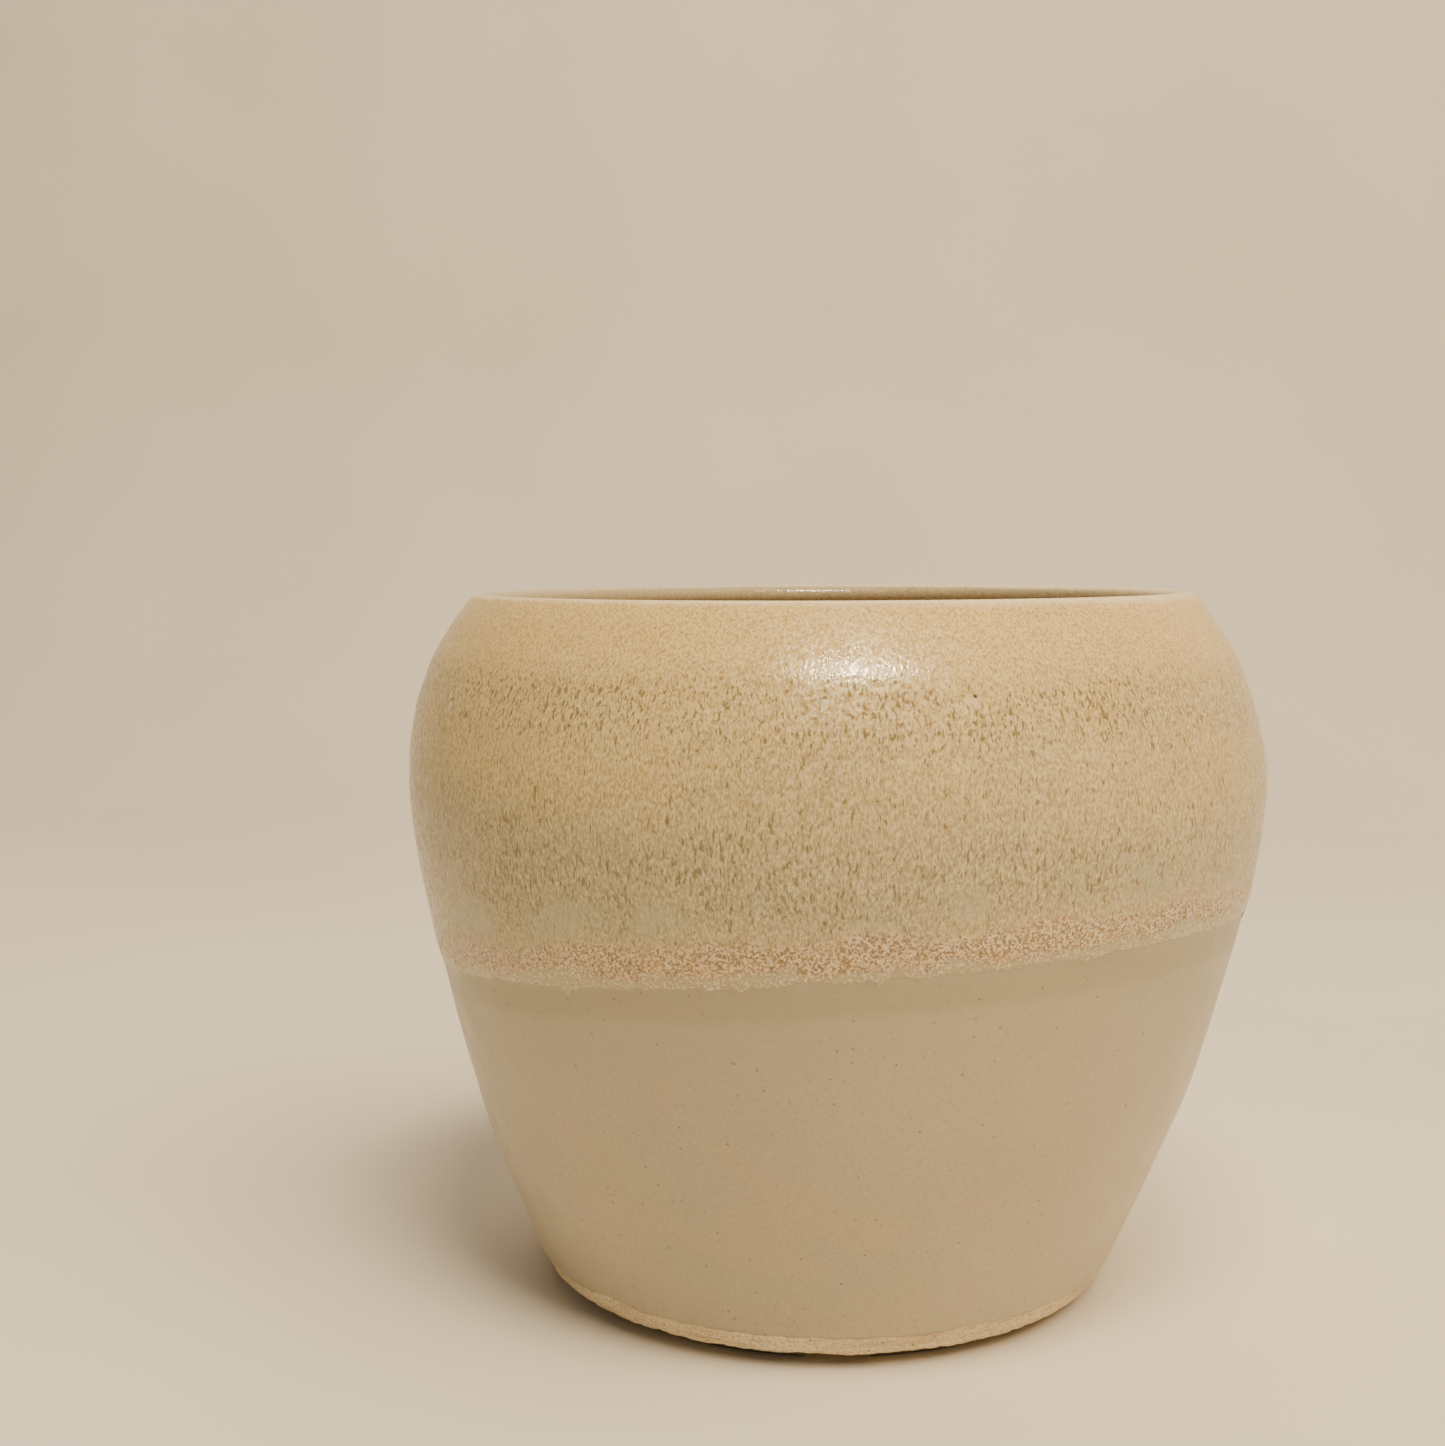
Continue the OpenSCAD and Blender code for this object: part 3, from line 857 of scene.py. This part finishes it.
def build_clay():
    """The thrown body, from the drain hole out under the foot, up, and down the inside."""
    turn = np.linspace(0, TAU, CLAY_TURNS, endpoint=False)
    ring_in = RING_R - RING_W
    under = ring_rows(
        [(DRAIN_R + 0.5, RECESS_H), (18, RECESS_H), (26, RECESS_H), (36, RECESS_H),
         (ring_in - 0.8, RECESS_H), (ring_in, RECESS_H - 0.7), (ring_in + 0.3, 3),
         (ring_in + 0.5, 0.7), (ring_in + 1.1, 0.1), (ring_in + 1.8, 0),
         (RING_R - 2, 0), (RING_R - 1.2, 0.1), (RING_R - 0.6, 0.6), (RING_R, HEEL_Z - 0.4)],
        turn,
    )
    # The heel's edge is nibbled: it rises and falls and has small chips
    heel = np.stack([HEEL_R * np.cos(turn), HEEL_R * np.sin(turn), 0 * turn], axis=-1)
    nibble = 0.22 * fbm(heel, 5, 3) + 0.28 * np.clip(fbm(heel + 30, 1.4, 3), 0, 1)
    chips = 0.9 * np.clip(fbm(heel + 75, 6, 2) - 0.42, 0, 1)
    rise = nibble + chips
    heel_r = HEEL_R - GLAZE_T
    edge_rows = []
    for r, z, share in ((heel_r - 2.6, HEEL_Z - 0.2, 0.2), (heel_r - 1.2, HEEL_Z - 0.1, 0.6),
                        (heel_r - 0.5, HEEL_Z, 1.0), (heel_r - 0.15, HEEL_Z + 0.25, 1.0)):
        row_z = z + share * rise
        edge_rows.append(np.stack([r * np.cos(turn), r * np.sin(turn), row_z], axis=-1))

    # The gritty bare band, and the wall under the glazes
    bare_from = HEEL_Z + 0.7 + rise
    bare_to = BARE_Z + BARE_OVERLAP
    z_bare = bare_from + (bare_to - HEEL_Z - 0.7 - rise) * np.linspace(0, 1, 12)[:, None]
    bare = on_wall(z_bare, turn, GLAZE_T)
    grit = fbm(bare, 1.1, 3) * 0.09
    bare[:, :, :2] *= 1 + (grit / heel_r)[..., None]
    hidden_z = bare_to + (TOP_Z - BARE_Z - BARE_OVERLAP) * np.linspace(0, 1, 12)[1:, None]
    hidden = on_wall(hidden_z, turn, GLAZE_T)
    lip = round_lip(turn, 0, rows=8)[1:-1]

    # The inside keeps the spiral of the potter's fingers below the glaze
    corner_z = FLOOR_Z + CORNER_R
    z_in = TOP_Z + (corner_z - TOP_Z) * np.linspace(0, 1, 64)[:, None]
    spiral = 0.32 * np.sin(TAU * z_in / SPIRAL_PITCH - turn)
    spiral = spiral + 0.12 * np.sin(TAU * z_in / 3.7 - 2 * turn)
    fade = np.clip((INSIDE_END - 3 - z_in) / 8, 0, 1) * np.clip((z_in - corner_z) / 6, 0, 1)
    inside = on_wall(z_in, turn, GLAZE_T + clay_t(z_in) + spiral * fade)

    # The rounded corner, and the floor with its swirl
    corner_top = on_wall(np.array([corner_z]), np.array([0.0]), GLAZE_T + WALL_T)[0]
    flat = corner_top[0] - CORNER_R
    corner = ring_rows([(flat + CORNER_R * math.cos(a), corner_z + CORNER_R * math.sin(a))
                        for a in np.radians(np.linspace(-8, -90, 10))], turn)
    floor_r = np.linspace(flat - 1, DRAIN_R + 0.8, 26)
    floor = ring_rows([(r, FLOOR_Z) for r in floor_r], turn)
    swirl = 0.22 * np.sin(TAU * floor_r[:, None] / SWIRL_PITCH + turn)
    fade_out = np.clip((flat - floor_r) / 5, 0, 1)[:, None]
    fade_in = np.clip((floor_r - 22) / 6, 0, 1)[:, None]
    floor[:, :, 2] -= np.abs(swirl * (fade_out * fade_in))
    hole = ring_rows([(DRAIN_R + 0.25, FLOOR_Z - 0.2), (DRAIN_R, FLOOR_Z - 0.8),
                      (DRAIN_R, RECESS_H + 0.6), (DRAIN_R + 0.15, RECESS_H + 0.15)], turn)
    rows = np.concatenate([under, edge_rows, bare, hidden, lip, inside[1:], corner, floor, hole])
    piece = grid_piece("clay_body_thrown", rows)
    cut_foot(piece)
    return piece


def wire_hole(x, y):
    """Middle of a wire hole, seen from above, for x and y of -1 or 1."""
    return x * HOLE_X, y * HOLE_Y + x * HOLE_STEP


def cut_foot(piece):
    """Cuts the four wire holes through the floor and the three water notches."""
    cutters = []
    for x in (-1, 1):
        for y in (-1, 1):
            hole_x, hole_y = wire_hole(x, y)
            bpy.ops.mesh.primitive_cylinder_add(
                vertices=48, radius=WIRE_HOLE_R * MM, depth=16 * MM,
                location=(hole_x * MM, hole_y * MM, 9 * MM))
            cutters.append(bpy.context.object)
    middle = RING_R - RING_W / 2
    for degrees in NOTCH_DIRECTIONS:
        a = math.radians(degrees)
        bpy.ops.mesh.primitive_cube_add(
            size=1, rotation=(0, 0, a),
            location=(middle * math.cos(a) * MM, middle * math.sin(a) * MM, 0))
        notch = bpy.context.object
        notch.scale = ((RING_W + 4) * MM, NOTCH_W * MM, 2 * NOTCH_H * MM)
        cutters.append(notch)
    for cutter in cutters:
        cut = piece.modifiers.new("cut", "BOOLEAN")
        cut.operation = "DIFFERENCE"
        cut.solver = "EXACT"
        cut.object = cutter
    shaped = bpy.data.meshes.new_from_object(
        piece.evaluated_get(bpy.context.evaluated_depsgraph_get()))
    piece.modifiers.clear()
    piece.data = shaped
    for cutter in cutters:
        bpy.data.objects.remove(cutter)


# ---------------------------------------------------------------- net and wires

NET_PITCH = 3.0
NET_COUNT = 11  # meshes of the net along each side
STRAND_R = 0.46
STRAND_END = 0.45  # how far a strand goes on past the last one that it crosses
WIRE_R = 1.0
WIRE_BEND_R = 1.5
BEND_Z = FLOOR_Z + WIRE_R + 0.6
TAIL_BEND_R = 8
TAIL_L = 108.0
TAIL_LEAN = math.radians(19)
KINK_X = 0.9  # how far a tail wanders out of its line, at most
KINK_Y = 0.5
CLIP_R = 0.6
CLIP_X = 4 * NET_PITCH
CLIP_Z = FLOOR_Z + NET_T + CLIP_R
CLIP_FOOT_Z = RECESS_H - CLIP_R - 0.1
CLIP_FOOT_L = 12.0
CLIP_LOOP_R = 3.0
CLIP_BENDS_R = (0.7, 0.9)  # at the top of a leg and at its foot
LOOP_FROM = 180  # degrees
LOOP_SWEEP = 330
LOOP_LIFT = 0.9 * CLIP_R  # how far a loop has risen at its end


def build_net():
    """Two layers of round strands, pressed into each other where they cross."""
    half = NET_COUNT * NET_PITCH / 2
    strands = []
    for i in range(NET_COUNT + 1):
        offset = -half + i * NET_PITCH
        for across in (False, True):
            height = FLOOR_Z + (NET_T - STRAND_R if across else STRAND_R)
            along = np.linspace(-half - STRAND_END, half + STRAND_END, 34)
            sag = 0.06 * np.cos(TAU * along / NET_PITCH)
            wave = 0.08 * np.sin(along * 0.9 + i * 1.7)
            route = [
                (offset + w, a, height - g) if across else (a, offset + w, height + g)
                for a, g, w in zip(along, sag, wave)
            ]
            strands.append(tube_piece("strand", route, STRAND_R, sides=10))
    bpy.ops.object.select_all(action="DESELECT")
    for strand in strands:
        strand.select_set(True)
    bpy.context.view_layer.objects.active = strands[0]
    bpy.ops.object.join()
    strands[0].name = "drain_net"
    return strands[0]


def build_tie_wire(x, y, name):
    """Half a tie wire: from the middle of its bar, up the hole, to the tip of a tail."""
    hole = np.array([*wire_hole(x, y), 0])
    middle = np.array([0, y * HOLE_Y, RECESS_H - WIRE_R])
    low = hole + [0, 0, RECESS_H - WIRE_R]
    bend = hole + [0, 0, BEND_Z]
    tip = bend + TAIL_L * np.array([x * math.sin(TAIL_LEAN), 0, math.cos(TAIL_LEAN)])
    route = np.array(rounded_route([middle, low, bend, tip], [WIRE_BEND_R, TAIL_BEND_R]))
    up = np.clip((route[:, 2] - BEND_Z - TAIL_BEND_R) / TAIL_L, 0, 1)
    route[:, 0] += x * KINK_X * np.sin(up * 9) * up
    route[:, 1] += KINK_Y * np.sin(up * 13 + x + y) * up
    return tube_piece(name, route, WIRE_R, sides=20)


def build_clip(side, name):
    """Half a clip: from the bridge's middle, round a loop, down a leg, to a folded foot."""
    start = [(0, 0, CLIP_Z), (side * (CLIP_X - 2), 0, CLIP_Z)]
    centre = side * (CLIP_X + CLIP_LOOP_R)
    loop = []
    for a in np.linspace(LOOP_FROM, LOOP_FROM + LOOP_SWEEP, 34):
        lift = LOOP_LIFT * (a - LOOP_FROM) / LOOP_SWEEP
        loop.append((centre + side * CLIP_LOOP_R * math.cos(math.radians(a)),
                     CLIP_LOOP_R * math.sin(math.radians(a)), CLIP_Z + lift))
    leg = rounded_route(
        [loop[-1], (side * CLIP_X, 0, CLIP_Z + 1.2), (side * CLIP_X, 0, CLIP_FOOT_Z),
         (side * (CLIP_X + CLIP_FOOT_L), 0, CLIP_FOOT_Z)], CLIP_BENDS_R, step=0.2)
    route = start + loop + [tuple(p) for p in leg[1:]]
    return tube_piece(name, route, CLIP_R, sides=14)


# ---------------------------------------------------------------- put together


def dress(piece, material, body, slot, *nodes):
    """Gives a piece its material, the nodes it replaces, and the body it rides, if any."""
    piece.data.materials.clear()
    piece.data.materials.append(material)
    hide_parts(*nodes)
    if body:
        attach(piece, body)


dress(build_clay(), clay_material(), "pot", "bare_clay", "clay_body")
dress(build_base_glaze(), base_glaze_material(), "pot", "base_glaze", "base_glaze")
dress(build_over_glaze(), over_glaze_material(), "pot", "over_glaze", "over_glaze")
dress(build_net(), net_material(), "pot", "net_plastic", "drain_screen")

anodised = wire_material("anodised_wire", BROWN_WIRE, BROWN_WIRE_DARK, 0.36)
for y, row in ((-1, "front"), (1, "back")):
    for x, end in ((-1, "left"), (1, "right")):
        wire = build_tie_wire(x, y, f"tie_wire_{row}_{end}")
        dress(wire, anodised, None, "anchor_wire", f"anchor_wire_{row}", f"tail_{row}_{end}")
        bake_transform(wire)

plain = wire_material("clip_wire", STEEL_WIRE, STEEL_WIRE_DARK, 0.34)
for side, end in ((-1, "left"), (1, "right")):
    clip = build_clip(side, f"net_clip_{end}")
    dress(clip, plain, None, "clip_wire", "screen_clip", f"clip_foot_{end}")
    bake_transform(clip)

# ---------------------------------------------------------------- stage, light and camera

# The cloth, in metres: flat from its front to where it turns up with this radius
CLOTH_FRONT = -1.6
CLOTH_FLAT_TO = 0.62
CLOTH_SWEEP_R = 0.3
CLOTH_TOP = 1.8
CLOTH_HALF_W = 2.4
CLOTH_PALE = srgb(237, 228, 210)
# the painted shade of the cloth's folds
CLOTH_FOLD_SHADE = srgb(231, 222, 204)

# The room: what it adds to the light, and the wall that the camera sees past the cloth
AMBIENT_COLOR = (0.94, 0.97, 1.0, 1)
AMBIENT_STRENGTH = 0.15
WALL_COLOR = (1.0, 0.87, 0.70, 1)
WALL_STRENGTH = 1.0

# What the lamps look at, in metres
SHOULDER_POINT = (0, -0.078, 0.127)
MIDDLE_POINT = (0, 0, 0.09)

# The camera, in mm from the pot's axis and from the table
CAMERA_DISTANCE = 374.8
CAMERA_ASIDE = -20.6
CAMERA_HEIGHT = 144.6
CAMERA_PITCH = math.radians(5.31)
SENSOR_W = 36.0
FOCAL_L = 46.446228


def build_stage():
    """A pale cloth that runs from the table up into the backdrop in one curve."""
    profile = [(y, 0.0) for y in (CLOTH_FRONT, -0.6, -0.2, 0.1, 0.3, CLOTH_FLAT_TO)]
    profile += [(CLOTH_FLAT_TO + CLOTH_SWEEP_R * math.sin(a), CLOTH_SWEEP_R * (1 - math.cos(a)))
                for a in np.radians(np.linspace(5, 90, 18))]
    profile.append((CLOTH_FLAT_TO + CLOTH_SWEEP_R, CLOTH_TOP))
    columns = np.linspace(-CLOTH_HALF_W, CLOTH_HALF_W, 9)
    vertices = [(x, y, z) for y, z in profile for x in columns]
    n = len(columns)
    faces = [(i * n + j, i * n + j + 1, (i + 1) * n + j + 1, (i + 1) * n + j)
             for i in range(len(profile) - 1) for j in range(n - 1)]
    mesh = bpy.data.meshes.new("cloth")
    mesh.from_pydata(vertices, [], faces)
    mesh.shade_smooth()
    cloth = link("cloth", mesh)
    s = Shader("cloth")
    # Broad patches painted slightly duller, as the shade of soft folds in the cloth
    fold_shade = s.noise(180, 2)
    color = s.blend(s.span(fold_shade, 0.3, 0.7), CLOTH_PALE, CLOTH_FOLD_SHADE)
    weave = s.noise(1.8, 2)
    normal = s.bump(weave, 0.05, 0.3)
    mesh.materials.append(s.finish(color, 0.85, normal))


def area_light(name, direction, distance, width, height, power, color, target):
    """A soft panel that looks at the target. direction: degrees right of the front, and up."""
    right, up = (math.radians(a) for a in direction)
    way = Vector((math.cos(up) * math.sin(right), -math.cos(up) * math.cos(right), math.sin(up)))
    light = bpy.data.lights.new(name, "AREA")
    light.shape = "RECTANGLE"
    light.size = width
    light.size_y = height
    light.energy = power
    light.color = color
    lamp = link(name, light)
    lamp.location = Vector(target) + way * distance
    lamp.rotation_euler = (-way).to_track_quat("-Z", "Y").to_euler()
    return lamp


def build_room():
    """Weak light from all round, and a plain wall that only the camera sees."""
    world = bpy.data.worlds.new("room")
    bpy.context.scene.world = world
    world.use_nodes = True
    tree = world.node_tree
    ambient = tree.nodes["Background"]
    ambient.inputs["Color"].default_value = AMBIENT_COLOR
    ambient.inputs["Strength"].default_value = AMBIENT_STRENGTH
    wall = tree.nodes.new("ShaderNodeBackground")
    wall.inputs["Color"].default_value = WALL_COLOR
    wall.inputs["Strength"].default_value = WALL_STRENGTH
    seen = tree.nodes.new("ShaderNodeLightPath").outputs["Is Camera Ray"]
    either = tree.nodes.new("ShaderNodeMixShader")
    tree.links.new(seen, either.inputs[0])
    tree.links.new(ambient.outputs[0], either.inputs[1])
    tree.links.new(wall.outputs[0], either.inputs[2])
    tree.links.new(either.outputs[0], tree.nodes["World Output"].inputs["Surface"])


def build_lamps():
    """A window to the right, a lamp above with its glint on the shoulder, and a back light."""
    ceiling = area_light(
        "ceiling", direction=(6, 70), distance=0.9, width=0.3, height=0.2,
        power=7.0, color=(1.0, 0.86, 0.62), target=SHOULDER_POINT)
    ceiling.visible_glossy = False
    glint = area_light(
        "glint", direction=(5, 52), distance=0.9, width=0.22, height=0.13,
        power=15.0, color=(1.0, 0.86, 0.58), target=SHOULDER_POINT)
    glint.visible_diffuse = False
    area_light(
        "back", direction=(190, 56), distance=1.1, width=0.9, height=0.4,
        power=1.7, color=(1.0, 0.94, 0.84), target=MIDDLE_POINT)
    window = area_light(
        "window", direction=(48, 56), distance=2.2, width=1.8, height=1.4,
        power=60.0, color=(1.0, 0.81, 0.56), target=MIDDLE_POINT)
    window.visible_glossy = False  # the real room's light leaves no broad sheen on the glaze


def build_camera():
    """A camera a little above the lip and left of the pot, aimed slightly down."""
    data = bpy.data.cameras.new("camera")
    data.sensor_width = SENSOR_W
    data.lens = FOCAL_L
    data.clip_start = 0.01
    camera = link("camera", data)
    camera.location = Vector((CAMERA_ASIDE, -CAMERA_DISTANCE, CAMERA_HEIGHT)) * MM
    camera.rotation_euler = (math.pi / 2 - CAMERA_PITCH, 0, 0)
    bpy.context.scene.camera = camera


build_stage()
build_room()
build_lamps()
build_camera()
